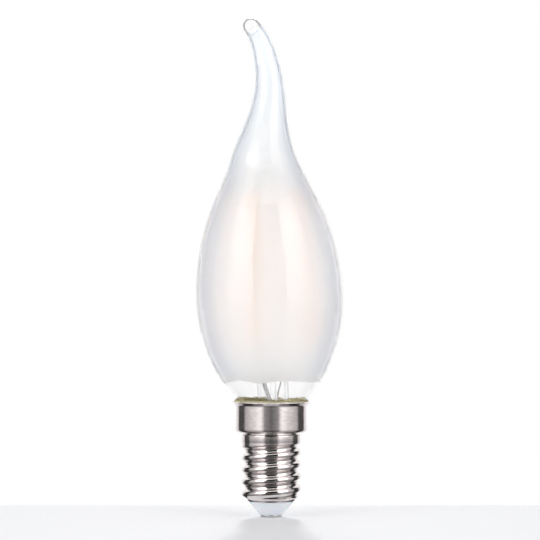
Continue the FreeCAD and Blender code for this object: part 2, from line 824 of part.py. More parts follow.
pieces = [
    feature("screw_shell", screw_shell()),
    centre_contact(),
    insulator(),
    feature("capping_cement", capping_cement(outer_glass)),
    feature("glass_envelope", hollow_glass, in_glass),
    feature("glass_stem", stem),
    feature("rear_lead_wire", leads[0]),
    feature("front_lead_wire", leads[1]),
    feature("lead_sleeve", lead_sleeve().cut(leads[1])),
    feature("neutral_wire", neutral_wire()),
    feature("fusible_resistor", fusible_resistor()),
]
pieces += [feature(label, wire) for label, wire in cross_wires.items()]
for number in range(FILAMENTS):
    pieces.append(filament(number))
    pieces.append(filament_tab(number, "lower", "0"))
    pieces.append(filament_tab(number, "upper", f"{SPAN} - Sizes.tab_length"))
pieces += driver()

doc.recompute()
for item in doc.Objects:
    if "Invalid" in item.State or "Error" in item.State:
        raise RuntimeError(f"{item.Label} did not recompute: {item.State}")
for item in pieces:
    if item.Shape.isNull() or not item.Shape.isValid() or not item.Shape.Solids:
        raise RuntimeError(f"{item.Label} has no valid solid")

os.makedirs("parts", exist_ok=True)
for item in pieces:
    item.Shape.exportStep(f"parts/{item.Label}.step")
    print(f"{item.Label}: {len(item.Shape.Solids)} solid, {item.Shape.Volume:.2f} cubic mm")
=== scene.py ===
# %% [markdown]
# # A frosted candle bulb with a bent glass tail
#
# The solids of the bulb come first, as a fixed frame. Every piece below is made in the same place as the
# solid that it dresses, in millimetres, and is turned into metres only when its mesh is made.

# %% Load the frame
import math
from functools import partial

import bmesh
import bpy
import numpy as np
from mathutils import Matrix, Vector, noise


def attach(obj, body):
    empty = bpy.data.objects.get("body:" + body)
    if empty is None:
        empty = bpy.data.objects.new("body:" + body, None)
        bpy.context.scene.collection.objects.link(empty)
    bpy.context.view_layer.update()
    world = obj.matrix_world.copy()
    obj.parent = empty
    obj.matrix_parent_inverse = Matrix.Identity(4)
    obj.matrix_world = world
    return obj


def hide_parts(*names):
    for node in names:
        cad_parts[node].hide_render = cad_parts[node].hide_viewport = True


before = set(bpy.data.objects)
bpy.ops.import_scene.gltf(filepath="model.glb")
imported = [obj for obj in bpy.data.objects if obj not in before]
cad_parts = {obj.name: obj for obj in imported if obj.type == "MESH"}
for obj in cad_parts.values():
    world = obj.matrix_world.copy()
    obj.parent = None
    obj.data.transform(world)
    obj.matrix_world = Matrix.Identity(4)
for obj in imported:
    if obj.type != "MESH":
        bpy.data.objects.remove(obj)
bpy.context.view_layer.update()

# %% [markdown]
# A piece starts as a list of points and faces. This helper makes the mesh, shades it smooth and keeps the
# sharp edges. Points are in millimetres, so the numbers read like the sizes on a drawing.

# %% Make a mesh piece
MM = 0.001
CREASE, SOFT_CREASE, WIRE_CREASE = 50, 60, 40


def shaded(mesh, crease):
    mesh.shade_smooth()
    mesh.set_sharp_from_angle(angle=math.radians(crease))


def linked(name, data):
    thing = bpy.data.objects.new(name, data)
    bpy.context.scene.collection.objects.link(thing)
    return thing


def mesh_piece(name, points, faces, crease=CREASE):
    """An object at the origin whose mesh has these points, in millimetres."""
    mesh = bpy.data.meshes.new(name)
    mesh.from_pydata([Vector(p) * MM for p in points], [], faces)
    work = bmesh.new()
    work.from_mesh(mesh)
    bmesh.ops.remove_doubles(work, verts=work.verts, dist=1e-7)
    bmesh.ops.recalc_face_normals(work, faces=work.faces)
    work.to_mesh(mesh)
    work.free()
    shaded(mesh, crease)
    return linked(name, mesh)


def dressed(piece, surface, slot, *nodes):
    """Put a finished piece in the frame: it rides on the bulb and stands for these solids."""
    if not piece.data.materials:
        piece.data.materials.append(surface)
    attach(piece, "root")
    if nodes:
        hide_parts(*nodes)
    print(piece.name, len(piece.data.polygons), "faces, for", nodes)


# %% [markdown]
# Most of a lamp cap is turned or drawn: a half outline, given as radius and height, goes once round the
# axis. A corner can be given a bend, because no real edge is sharp and the small arcs catch the light.

# %% Turn an outline
def bent(corners, bends, steps=5):
    """The corners of an outline with an arc at each one that has a bend radius."""
    run = [Vector(corners[0])]
    for before, corner, after, bend in zip(corners, corners[1:], corners[2:], bends):
        if not bend:
            run.append(Vector(corner))
            continue
        spot = Vector(corner)
        back = (Vector(before) - spot).normalized()
        ahead = (Vector(after) - spot).normalized()
        half = back.angle(ahead) / 2
        middle = (back + ahead).normalized()
        centre = spot + middle * (bend / math.sin(half))
        first = spot + back * (bend / math.tan(half)) - centre
        last = spot + ahead * (bend / math.tan(half)) - centre
        for i in range(steps + 1):
            run.append(centre + first.slerp(last, i / steps).normalized() * bend)
    return run + [Vector(corners[-1])]


def turned(outline, sides, closed=True, change=None):
    """Points and faces of an outline turned round Z. A change moves each point by its direction."""
    points = []
    for i in range(sides):
        angle = 2 * math.pi * i / sides
        for radius, height in outline:
            if change:
                radius, height = change(angle, radius, height)
            points.append((radius * math.cos(angle), radius * math.sin(angle), height))
    rows = len(outline)
    faces = []
    for i in range(sides):
        for j in range(rows if closed else rows - 1):
            k = (j + 1) % rows
            a, b = i * rows, (i + 1) % sides * rows
            faces.append((a + j, b + j, b + k, a + k))
    return points, faces


def solid_faces(points, faces):
    """Without the quads that have no width where an outline runs along the axis."""
    kept = []
    for face in faces:
        spots = {tuple(round(c, 5) for c in points[i]) for i in face}
        if len(spots) > 2:
            kept.append(face)
    return kept


# %% [markdown]
# A form that isn't turned, such as the bent tail, is a stack of rings with the same number of points. The
# quads between them follow a fixed pattern.

# %% Stack rings
def stacked(levels, sides):
    """The quads between rings that lie one on the other."""
    return [
        (j * sides + i, j * sides + (i + 1) % sides, (j + 1) * sides + (i + 1) % sides, (j + 1) * sides + i)
        for j in range(levels - 1)
        for i in range(sides)
    ]


def lids(levels, sides):
    """The two faces that close a stack of rings."""
    top = sides * (levels - 1)
    return [tuple(range(sides))[::-1], tuple(range(top, top + sides))]


# %% [markdown]
# Geometry Nodes make what repeats or follows a path. One helper opens a tree with named sizes, one adds a
# node with its inputs, and one runs the tree on an object and keeps the result as a plain mesh.

# %% Write and run a node tree
def open_tree(name, *sizes):
    tree = bpy.data.node_groups.new(name, "GeometryNodeTree")
    kinds = [("Geometry", "Geometry"), *((label, "Float") for label in sizes), ("Finish", "Material")]
    for label, kind in kinds:
        tree.interface.new_socket(label, in_out="INPUT", socket_type="NodeSocket" + kind)
    tree.interface.new_socket("Geometry", in_out="OUTPUT", socket_type="NodeSocketGeometry")
    return tree, tree.nodes.new("NodeGroupInput").outputs


def add(tree, kind, inputs, **settings):
    """A node with its settings, and its inputs given as values or as other nodes' outputs."""
    node = tree.nodes.new(kind)
    for key, value in settings.items():
        setattr(node, key, value)
    for key, value in inputs.items():
        if isinstance(value, bpy.types.NodeSocket):
            tree.links.new(value, node.inputs[key])
        else:
            node.inputs[key].default_value = value
    return node


def calc(tree, operation, *values):
    inputs = dict(enumerate(values))
    return add(tree, "ShaderNodeMath", inputs, operation=operation).outputs[0]


def close_tree(tree, given, geometry):
    """Real faces and one finish, as the export needs them."""
    real = add(tree, "GeometryNodeRealizeInstances", {"Geometry": geometry}).outputs[0]
    coated = add(tree, "GeometryNodeSetMaterial", {"Geometry": real, "Material": given["Finish"]})
    add(tree, "NodeGroupOutput", {"Geometry": coated.outputs[0]})
    print(tree.name, "has", len(tree.nodes), "nodes")


def flattened(piece):
    """The plain mesh that an object's modifiers make."""
    graph = bpy.context.evaluated_depsgraph_get()
    return bpy.data.meshes.new_from_object(piece.evaluated_get(graph), depsgraph=graph)


def grown(base, tree, finish, crease=CREASE, **sizes):
    """A new piece, with the base's name, whose mesh is what a tree makes of the base."""
    step = base.modifiers.new(tree.name, "NODES")
    step.node_group = tree
    for item in tree.interface.items_tree:
        key = item.name.replace(" ", "_").lower()
        if item.in_out == "INPUT" and key in sizes:
            step[item.identifier] = float(sizes[key])
        if item.name == "Finish":
            step[item.identifier] = finish
    base.update_tag()
    mesh = flattened(base)
    name = base.name
    bpy.data.objects.remove(base)
    shaded(mesh, crease)
    mesh.name = name
    return linked(name, mesh)


# %% [markdown]
# A finish is a Principled shader with a few nodes before it. Patterns read Object coordinates, which are
# metres from the bulb's origin, so a pattern stays where it is on the piece whatever way it is turned.

# %% Write a finish
def finish(name, **values):
    """A material with a Principled shader, its constant values set on the sockets."""
    material = bpy.data.materials.new(name)
    material.use_nodes = True
    tree = material.node_tree
    shader = tree.nodes["Principled BSDF"]
    for key, value in values.items():
        shader.inputs[key.replace("_", " ")].default_value = value
    return material, tree, shader


def place(tree, stretch=(1, 1, 1)):
    spot = tree.nodes.new("ShaderNodeTexCoord").outputs["Object"]
    return add(tree, "ShaderNodeMapping", {"Vector": spot, "Scale": stretch}).outputs[0]


def along(tree, axis):
    """How far a point lies along an axis, in metres."""
    return add(tree, "ShaderNodeSeparateXYZ", {"Vector": place(tree)}).outputs[axis]


def grain(tree, spot, size, detail=3.0, roughness=0.5):
    """Noise whose lumps are about this size, in millimetres."""
    inputs = {"Vector": spot, "Scale": 1 / (size * MM), "Detail": detail, "Roughness": roughness}
    return add(tree, "ShaderNodeTexNoise", inputs).outputs["Fac"]


def between(tree, share, low, high):
    """A value that runs from low to high over the middle of a noise."""
    inputs = {"Value": share, "From Min": 0.3, "From Max": 0.7, "To Min": low, "To Max": high}
    return add(tree, "ShaderNodeMapRange", inputs).outputs[0]


def ramp(tree, value, first, last, ease="LINEAR"):
    """A share that goes from 0 to 1 while the value goes from first to last."""
    inputs = {"Value": value, "From Min": first, "From Max": last}
    return add(tree, "ShaderNodeMapRange", inputs, interpolation_type=ease).outputs[0]


soft_ramp = partial(ramp, ease="SMOOTHSTEP")


# %% [markdown]
# Two colours mixed by a share are the base of nearly every finish here. Bump gives relief that is too small
# to be modelled. Where colour, roughness and relief follow one noise, a single call makes the finish.

# %% Colour and relief
WHITE = (1.0, 1.0, 1.0, 1)


def blend(tree, share, first, second):
    node = add(tree, "ShaderNodeMix", {}, data_type="RGBA")
    for index, value in ((0, share), (6, first), (7, second)):
        if isinstance(value, bpy.types.NodeSocket):
            tree.links.new(value, node.inputs[index])
        else:
            node.inputs[index].default_value = value
    return node.outputs[2]


def set_by(tree, shader, **values):
    """Let nodes' outputs set the shader's values."""
    for key, value in values.items():
        tree.links.new(value, shader.inputs[key.replace("_", " ")])


def two_tone(tree, shader, share, first, second):
    """The shader's own colour, mixed from two by a share."""
    set_by(tree, shader, Base_Color=blend(tree, share, first, second))


def relief(tree, shader, height, depth, strength=1.0):
    """Small relief of this depth, in millimetres."""
    inputs = {"Height": height, "Distance": depth * MM, "Strength": strength}
    set_by(tree, shader, Normal=add(tree, "ShaderNodeBump", inputs).outputs[0])


def mottled(name, noise, first, second, stretch=(1, 1, 1), rough=None, bump=None, **values):
    """A finish whose colour, and roughness or relief if they are given, follow one noise."""
    material, tree, shader = finish(name, **values)
    lumps = grain(tree, place(tree, stretch), *noise)
    two_tone(tree, shader, lumps, first, second)
    if rough:
        set_by(tree, shader, Roughness=between(tree, lumps, *rough))
    if bump:
        relief(tree, shader, lumps, *bump)
    print("finish:", name)
    return material


# %% [markdown]
# ## The glass
#
# The envelope is blown glass on a slightly crooked seat: all the glass leans a little to the left. Its own
# axis starts just above the cap's rim, and the pieces sealed in it use the same lean.

# %% The lean of the glass
SEAT = Vector((0.5, 0, 27.0))
LEAN = Matrix.Rotation(math.radians(-2.2), 3, "Y")


def in_glass(point):
    """A point given from the glass's own zero, in the bulb's frame."""
    return LEAN @ Vector(point) + SEAT


print("the glass's zero is at", [round(c, 2) for c in in_glass((0, 0, 0))])

# %% [markdown]
# The outline of a blown bulb is a chain of arcs that touch smoothly: the neck's rounding, a lower and an
# upper curve that meet at the belly, and a hollow towards the tail.

# %% The bulb's half outline
NECK, NECK_BEND, MOUTH, NECK_TOP = 7.3, 3.5, -4.7, -2.5
BELLY, BELLY_LEVEL, ROOT = 17.15, 24.0, 55.0
HIGH_CURVE, HOLLOW_CURVE, SHOULDER = 55.0, 80.0, math.radians(27)
RIM_REACH = 8.46
BULGE = BELLY - RIM_REACH
LOW_CURVE = (BULGE**2 + BELLY_LEVEL**2) / (2 * BULGE)


def arc(centre, radius, first, last, count):
    return [
        (centre[0] + radius * math.cos(a), centre[1] + radius * math.sin(a))
        for a in np.linspace(first, last, count)
    ]


def bulb_outline(inset):
    """Radius and height from the neck's mouth up to the tail's root."""
    neck, bend = NECK - inset, NECK_BEND + inset
    low, high = BELLY - LOW_CURVE, BELLY - HIGH_CURVE
    across = neck + bend - low
    drop = math.sqrt((LOW_CURVE - inset + bend) ** 2 - across**2)
    turn = math.atan2(drop, across)
    hollow = arc((high, BELLY_LEVEL), HIGH_CURVE + HOLLOW_CURVE, SHOULDER, SHOULDER, 1)[0]
    root = math.asin((hollow[1] - ROOT) / (HOLLOW_CURVE + inset))
    return (
        [(neck, MOUTH), (neck, NECK_TOP)]
        + arc((neck + bend, BELLY_LEVEL - drop), bend, math.pi, math.pi - turn, 9)
        + arc((low, BELLY_LEVEL), LOW_CURVE - inset, -turn, 0, 26)[1:]
        + arc((high, BELLY_LEVEL), HIGH_CURVE - inset, 0, SHOULDER, 20)[1:]
        + arc(hollow, HOLLOW_CURVE + inset, math.pi + SHOULDER, math.pi + root, 8)[1:]
    )


print("rings in the outline:", len(bulb_outline(0)))

# %% [markdown]
# A curve that is known only at a few stops is made smooth by a cubic spline: the slopes at the stops are
# found together, so that the curve's bend doesn't jump at any of them.

# %% A smooth curve through stops
def smooth(knots, values, start=None, end=None):
    """A cubic curve through the values; its end slopes are given, or else it ends straight."""
    knots, values = np.array(knots, float), np.array(values, float)
    gaps = np.diff(knots)
    rises = np.diff(values) / gaps
    count = len(knots)
    matrix, right = np.zeros((count, count)), np.zeros(count)
    for i in range(1, count - 1):
        matrix[i, i - 1 : i + 2] = gaps[i], 2 * (gaps[i - 1] + gaps[i]), gaps[i - 1]
        right[i] = 3 * (gaps[i] * rises[i - 1] + gaps[i - 1] * rises[i])
    for i, j, slope, rise in ((0, 1, start, rises[0]), (-1, -2, end, rises[-1])):
        matrix[i, i] = 1 if slope is not None else 2
        matrix[i, j] = 0 if slope is not None else 1
        right[i] = slope if slope is not None else 3 * rise
    slopes = np.linalg.solve(matrix, right)

    def value(at):
        i = min(max(int(np.searchsorted(knots, at)) - 1, 0), count - 2)
        t = (at - knots[i]) / gaps[i]
        return (
            values[i] * (1 + 2 * t) * (1 - t) ** 2
            + slopes[i] * gaps[i] * t * (1 - t) ** 2
            + values[i + 1] * t * t * (3 - 2 * t)
            - slopes[i + 1] * gaps[i] * t * t * (1 - t)
        )

    return value


# %% [markdown]
# The tail is drawn out of the hot glass and bent over. Its centre line goes through a few stops in one
# plane, turned a little towards the viewer, and a smooth curve through them gives the rings.

# %% The tail's centre line
STOPS = [(0, ROOT), (1.1, 64.5), (2.2, 73.0), (1.19, 81.3), (-2.12, 87.6)]
HALF_WIDTHS = [5.13, 3.46, 2.67, 1.9]
SWING = Matrix.Rotation(math.radians(30), 3, "Z")
TIP_TURN = math.radians(46)


def tail_rings(root_radius, inset, short, count):
    """Centre, direction and radius of each ring of the tail, in the glass's own axes."""
    spans = [math.dist(a, b) for a, b in zip(STOPS, STOPS[1:])]
    knots = np.concatenate([[0], np.cumsum(spans)])
    across = smooth(knots, [s[0] for s in STOPS], 0, -math.sin(TIP_TURN))
    up = smooth(knots, [s[1] for s in STOPS], 1, math.cos(TIP_TURN))
    width = smooth(knots, [root_radius + inset] + HALF_WIDTHS)
    step = 0.01
    rings = []
    for at in np.linspace(0, knots[-1] - short, count):
        way = Vector((across(at + step) - across(at - step), 0, up(at + step) - up(at - step)))
        centre = SWING @ Vector((across(at), 0, up(at)))
        rings.append((centre, (SWING @ way).normalized(), width(at) - inset))
    return rings


TIP = in_glass(tail_rings(NECK, 0, 0, 2)[-1][0])
print("the tip is at", [round(c, 2) for c in TIP])

# %% [markdown]
# Outline and tail are joined as one row of rings. Each ring is square to the centre line, and it is carried
# from the one below without a twist, so the quads stay straight. The end closes as a small dome.

# %% Rings of the envelope
SIDES = 160
DOME_STEPS = 8
POLE = 1e-6


def glass_rings(inset, short, count):
    """Centre, across-direction, direction and radius from the mouth to the end dome's pole."""
    outline = bulb_outline(inset)
    rows = [(Vector((0, 0, z)), Vector((0, 0, 1)), r) for r, z in outline[:-1]]
    rows += tail_rings(outline[-1][0], inset, short, count)
    centre, way, radius = rows[-1]
    rows += [
        (centre + way * (radius * math.sin(a)), way, max(radius * math.cos(a), POLE))
        for a in np.linspace(0, math.pi / 2, DOME_STEPS + 1)[1:]
    ]
    side, last, full = Vector((1, 0, 0)), Vector((0, 0, 1)), []
    for centre, way, radius in rows:
        side = last.rotation_difference(way) @ side
        last = way
        full.append((centre, side.copy(), way, radius))
    return full


def sleeve(rings):
    """Points of a row of rings, in the bulb's frame, and the quads between them."""
    points = []
    for centre, side, way, radius in rings:
        other = way.cross(side)
        for i in range(SIDES):
            angle = 2 * math.pi * i / SIDES
            spot = centre + (side * math.cos(angle) + other * math.sin(angle)) * radius
            points.append(in_glass(spot))
    return points, stacked(len(rings), SIDES)


GLASS, TIP_GLASS = 0.7, 1.6
outer = glass_rings(0, 0, 64)
inner = glass_rings(GLASS, TIP_GLASS, 60)
print("rings from mouth to tip:", len(outer), "outside,", len(inner), "inside")

# %% [markdown]
# Clear glass is full transmission. A rod or tube of it shows a grey line along each edge, where light is
# bent away. Layer Weight, which knows how far a surface faces away, makes those lines a little darker.

# %% Finish of the clear glass
def edge_on(tree):
    """0 where the surface faces the eye, and 1 where it is seen from the side."""
    return add(tree, "ShaderNodeLayerWeight", {"Blend": 0.5}).outputs["Facing"]


clear_glass, tree, shader = finish("clear_glass", Roughness=0.0, IOR=1.45, Transmission_Weight=1.0)
# Painted shade: the glass's colour turns grey where a surface is seen edge-on.
two_tone(tree, shader, soft_ramp(tree, edge_on(tree), 0.45, 0.8), WHITE, (0.3, 0.31, 0.34, 1))
print("finish:", clear_glass.name)

# %% [markdown]
# The outside of a frosted bulb is clear and glossy. Over the frost its slanting parts get a painted grey-blue
# shade, since there the eye looks through more glass, and the painted shade turns pale again at the very
# edge. The drawn tail has a faint blue tint of its own.

# %% Finish of the envelope's outside
COAT_LOW, COAT_HIGH = 0.031, 0.034
TAIL_LOW, TAIL_HIGH = 0.075, 0.1
outer_glass, tree, shader = finish("outer_glass", Roughness=0.0, IOR=1.45, Transmission_Weight=1.0)
away, level = edge_on(tree), along(tree, "Z")
coated = ramp(tree, level, COAT_LOW, COAT_HIGH)
# Painted shade: the slanting parts over the frost get a grey-blue colour, which pales again at the very edge.
slant = calc(tree, "MULTIPLY", soft_ramp(tree, away, 0.1, 0.55), coated)
drawn = ramp(tree, level, TAIL_LOW, TAIL_HIGH)
flat_tint = blend(tree, drawn, (0.995, 0.998, 1.0, 1), (0.91, 0.945, 0.975, 1))
brink = soft_ramp(tree, away, 0.6, 1.0)
painted_edge_shade = blend(tree, brink, (0.73, 0.795, 0.895, 1), (0.94, 0.97, 1.0, 1))
tint_and_painted_shade = blend(tree, slant, flat_tint, painted_edge_shade)
print("finish:", outer_glass.name)

# %% [markdown]
# The tail ends in a solid bead, which shows as a thin dark ring with a line where the hollow begins; both
# are painted shade in the glass's colour. Bead and line are told by their distance from the tip, so the
# painted shade needs no mesh of its own.

# %% The bead at the tip
BEAD_INSIDE, BEAD_OUTSIDE = 0.0022, 0.0027
COLLAR, COLLAR_WIDTH = 0.0025, 0.00013
span = add(tree, "ShaderNodeVectorMath", {0: place(tree), 1: TIP * MM}, operation="DISTANCE").outputs["Value"]
solid = ramp(tree, span, BEAD_OUTSIDE, BEAD_INSIDE)
# Painted shade: the bead's colour turns dark where it is seen edge-on.
painted_bead_shade = blend(tree, soft_ramp(tree, away, 0.25, 0.5), WHITE, (0.2, 0.2, 0.22, 1))
# Painted shade: a grey line where the hollow begins.
collar = calc(tree, "COMPARE", span, COLLAR, COLLAR_WIDTH)
two_tone(tree, shader, collar, blend(tree, solid, tint_and_painted_shade, painted_bead_shade), (0.62, 0.67, 0.72, 1))
print("nodes in the outer glass:", len(tree.nodes))

# %% [markdown]
# The frost is a coat on the inside, so the envelope is one closed wall with two finishes: clear outside and
# frosted inside. The coat stops at a wavy, slightly sloping line above the neck. It scatters most light on
# and throws some back.

# %% Finish of the envelope's inside
FROST_EDGE, EDGE_WAVES, EDGE_SLOPE = 0.0301, 0.0035, -0.04
frosted_glass, tree, shader = finish("frosted_glass", IOR=1.45)
waves = grain(tree, place(tree, (1, 1, 0.1)), 9.0, 2.0)
edge = calc(tree, "MULTIPLY_ADD", waves, EDGE_WAVES, FROST_EDGE)
edge = calc(tree, "MULTIPLY_ADD", along(tree, "X"), EDGE_SLOPE, edge)
frost = ramp(tree, calc(tree, "SUBTRACT", along(tree, "Z"), edge), -0.0003, 0.0004)
two_tone(tree, shader, frost, (0.995, 0.995, 1.0, 1), WHITE)
rough = calc(tree, "MULTIPLY", frost, 0.95)
passed = calc(tree, "MULTIPLY_ADD", frost, -0.3, 1.0)
set_by(tree, shader, Roughness=rough, Transmission_Weight=passed)
print("finish:", frosted_glass.name)

# %% [markdown]
# The wall is the outer rings, the inner rings turned the other way, and a narrow band at the mouth that
# joins them. A face gets the frost where it looks towards the nearest ring's centre.

# %% The envelope
points, quads = sleeve(outer)
inner_points, inner_quads = sleeve(inner)
start = len(points)
wall = [tuple(i + start for i in quad)[::-1] for quad in inner_quads]
mouth = [(i, start + i, start + (i + 1) % SIDES, (i + 1) % SIDES) for i in range(SIDES)]
envelope = mesh_piece("envelope_glass", points + inner_points, quads + wall + mouth, SOFT_CREASE)
envelope.data.materials.append(outer_glass)
envelope.data.materials.append(frosted_glass)


def lies_inside(face):
    """Whether a face of the envelope looks towards the glass's own axis line."""
    spot = LEAN.inverted() @ (face.center / MM - SEAT)
    way = LEAN.inverted() @ face.normal
    ring = min(outer, key=lambda ring: (ring[0] - spot).length - ring[-1])
    return way.dot(spot - ring[0]) < 0


for face in envelope.data.polygons:
    face.material_index = 1 if lies_inside(face) else 0
dressed(envelope, frosted_glass, "frosted_glass", "glass_envelope")

# %% [markdown]
# ## The stem
#
# Inside the neck stands the stem, one piece of clear glass: a flare that is melted to the neck, a tube, the
# press that the wires are sealed in, a rod with a button, and the thin tube that the air was pumped out
# through. All of it is turned except the flat press.

# %% The glass stem
STEM, BORE, ROD, EXHAUST, EXHAUST_BORE = 3.65, 2.95, 1.1, 1.0, 0.55
FOOT = -5.4
FLARE = NECK - GLASS - STEM
tube_outline = bent(
    [
        (NECK, MOUTH), (STEM, MOUTH), (STEM, 7.0), (1.6, 9.2), (0.4, 9.2),
        (0.4, 8.4), (BORE, 6.0), (BORE, FOOT), (NECK, FOOT),
    ],
    [FLARE, 1.2, 0.4, 0, 0, 0.8, FLARE],
    9,
)
rod_outline = [
    (0, 8.8), (ROD, 8.8), (ROD, 49.6), (1.5, 50.2), (1.7, 50.9),
    (1.7, 51.6), (1.4, 52.4), (0.8, 52.85), (0, 52.9),
]
exhaust_outline = [
    (0, -8.4), (0.5, -8.2), (0.85, -7.8), (EXHAUST, -7.2), (EXHAUST, 8.6),
    (EXHAUST_BORE, 8.6), (EXHAUST_BORE, -6.6), (0.3, -6.3), (0, -6.2),
]
stem_points, stem_faces = [], []
for outline in (tube_outline, rod_outline, exhaust_outline):
    points, faces = turned(outline, 48)
    faces = solid_faces(points, faces)
    stem_faces += [tuple(i + len(stem_points) for i in face) for face in faces]
    stem_points += points
stem = mesh_piece("stem_glass", [in_glass(p) for p in stem_points], stem_faces)
dressed(stem, clear_glass, "clear_glass", "glass_stem")

# %% [markdown]
# The press is the tube's end, squeezed flat while it is soft. A rounded block that swells in its middle and
# thins to its edges looks like that: a squared circle (a superellipse) is stacked in rings.

# %% The press
PRESS_WIDTH, PRESS_DEPTH, PRESS_SIDES, PRESS_TURN = 6.4, 2.4, 32, 22


def squared(count, width, depth, power=3.2):
    """Points round a squared circle."""
    ring = []
    for i in range(count):
        c, s = math.cos(2 * math.pi * i / count), math.sin(2 * math.pi * i / count)
        ring.append((
            math.copysign(abs(c) ** (2 / power), c) * width / 2,
            math.copysign(abs(s) ** (2 / power), s) * depth / 2,
        ))
    return ring


levels = [(8.0, 0.55), (8.3, 0.8), (9.0, 0.97), (10.2, 1.0), (11.6, 0.97), (12.3, 0.85), (12.5, 0.6)]
press_turn = Matrix.Rotation(math.radians(PRESS_TURN), 3, "Z")
points = [
    in_glass(press_turn @ Vector((x, y, level)))
    for level, share in levels
    for x, y in squared(PRESS_SIDES, PRESS_WIDTH * share**0.4, PRESS_DEPTH * share)
]
faces = stacked(len(levels), PRESS_SIDES) + lids(len(levels), PRESS_SIDES)
press = mesh_piece("stem_press", points, faces)
dressed(press, clear_glass, "clear_glass")

# %% [markdown]
# ## Wires
#
# Every wire is a path of straight runs with a bend at each corner and a round section. That is one node
# tree: it fillets the corners, sweeps a circle along the path and closes the ends.

# %% The wire tree
wire_tree, given = open_tree("drawn_wire", "Radius", "Bend")
inputs = {"Curve": given["Geometry"], "Radius": given["Bend"], "Count": 6}
soft = add(wire_tree, "GeometryNodeFilletCurve", inputs, mode="POLY").outputs[0]
inputs = {"Resolution": 14, "Radius": given["Radius"]}
section = add(wire_tree, "GeometryNodeCurvePrimitiveCircle", inputs).outputs[0]
inputs = {"Curve": soft, "Profile Curve": section, "Fill Caps": True}
swept = add(wire_tree, "GeometryNodeCurveToMesh", inputs).outputs[0]
close_tree(wire_tree, given, swept)


def wire(name, corners, radius, surface, bend=1.0):
    """A round wire through these corners, in millimetres."""
    line = bpy.data.curves.new(name, "CURVE")
    line.dimensions = "3D"
    run = line.splines.new("POLY")
    run.points.add(len(corners) - 1)
    for point, corner in zip(run.points, corners):
        point.co = (*(Vector(corner) * MM), 1)
    return grown(linked(name, line), wire_tree, surface, WIRE_CREASE, radius=radius * MM, bend=bend * MM)


# %% [markdown]
# Nickel wire is drawn, so it is smooth along and faintly lined. The lead that shows through the neck wears
# a braided glass-fibre sleeve, whose weave is two sets of slanting bands.

# %% Finishes of the wires
wire_metal, tree, shader = finish("wire_metal", Base_Color=(0.66, 0.65, 0.63, 1), Metallic=1.0)
lines = grain(tree, place(tree, (1, 1, 0.05)), 0.08, 2.0)
set_by(tree, shader, Roughness=between(tree, lines, 0.22, 0.38))

dull, light = (0.40, 0.38, 0.37, 1), (0.58, 0.56, 0.54, 1)
lead_metal = mottled("lead_metal", (0.7, 3.0), dull, light, rough=(0.3, 0.5), Metallic=1.0)

sleeve_fabric, tree, shader = finish("sleeve_fabric", Roughness=0.8, Sheen_Weight=0.2)
strands = []
for slant in (0.9, -0.9):
    inputs = {"Vector": place(tree, (1, 1, slant)), "Scale": 900.0, "Distortion": 0.4}
    bands = add(tree, "ShaderNodeTexWave", inputs, bands_direction="DIAGONAL")
    strands.append(bands.outputs["Fac"])
weave = calc(tree, "MAXIMUM", *strands)
two_tone(tree, shader, weave, (0.30, 0.29, 0.30, 1), (0.46, 0.45, 0.46, 1))
relief(tree, shader, weave, 0.06)
print("finishes:", wire_metal.name, sleeve_fabric.name)

# %% [markdown]
# The four filaments stand round the rod. At each end a metal strap sticks out, and a bent wire joins the
# straps of two neighbours: two wires at the bottom and two at the top.

# %% Supports and bridges
AZIMUTH = -23.0
FEET_REACH, FEET_LEVEL, HEADS_REACH, HEADS_LEVEL = 9.2, 11.0, 6.4, 50.0
WELD_DEPTH, WELD_REACH, WIRE, LEAD_REACH = 0.445, 2.32, 0.3, 2.2


def around(radius, degrees, height):
    angle = math.radians(degrees)
    return Vector((radius * math.cos(angle), radius * math.sin(angle), height))


def weld(azimuth, low):
    """Two points behind a filament's strap: at its end, and further along it."""
    feet, heads = around(FEET_REACH, azimuth, FEET_LEVEL), around(HEADS_REACH, azimuth, HEADS_LEVEL)
    along_it = (heads - feet).normalized()
    behind = along_it.cross(around(1, azimuth + 90, 0)) * WELD_DEPTH
    inwards = behind if behind.dot(around(1, azimuth, 0)) < 0 else -behind
    spot, reach = (feet, along_it * WELD_REACH) if low else (heads, along_it * -WELD_REACH)
    return spot + inwards, spot + inwards + reach


for kind, low, quarter in (("support_wire", True, 45), ("bridge_wire", False, 135)):
    for number in (0, 1):
        way = AZIMUTH + quarter + 180 * number
        middle = around(LEAD_REACH, way, 13.4) if low else around(0.85, way, 51.2)
        near, end = weld(way - 45, low)
        far_near, far_end = weld(way + 45, low)
        corners = [in_glass(p) for p in (end, near, middle, far_near, far_end)]
        name = f"{kind}_{number + 1}"
        dressed(wire(name + "_drawn", corners, WIRE, wire_metal), wire_metal, "wire_metal", name)

# %% [markdown]
# Two leads carry the current from the press down to the board in the cap, and swing sideways on the way. A
# third wire goes from the board to the shell. All take the same tree.

# %% The leads
LEAD, LEAD_DRIFT, BOARD_TOP, PAD, SOLDERED = 0.2, 57, 18.0, 3.6, 1.3
BOARD_BACK, BOARD_FRONT = 1.62, 0.38
lead_corners = []
for side, board in ((0, BOARD_BACK), (1, BOARD_FRONT)):
    way = AZIMUTH + 45 + 180 * side
    course = [
        around(LEAD_REACH, way, 12.9),
        around(LEAD_REACH, way, 4.6),
        around(LEAD_REACH, way + LEAD_DRIFT, -1.0),
        around(LEAD_REACH * 1.3, way + LEAD_DRIFT / 2, -7.9),
    ]
    across = (1 - 2 * side) * PAD
    ends = [Vector((across, board, BOARD_TOP + rise)) for rise in (SOLDERED, -SOLDERED)]
    lead_corners.append([in_glass(p) for p in course] + ends)
for corners, name in zip(lead_corners, ("rear_lead_wire", "front_lead_wire")):
    dressed(wire(name + "_drawn", corners, LEAD, lead_metal), lead_metal, "lead_metal", name)

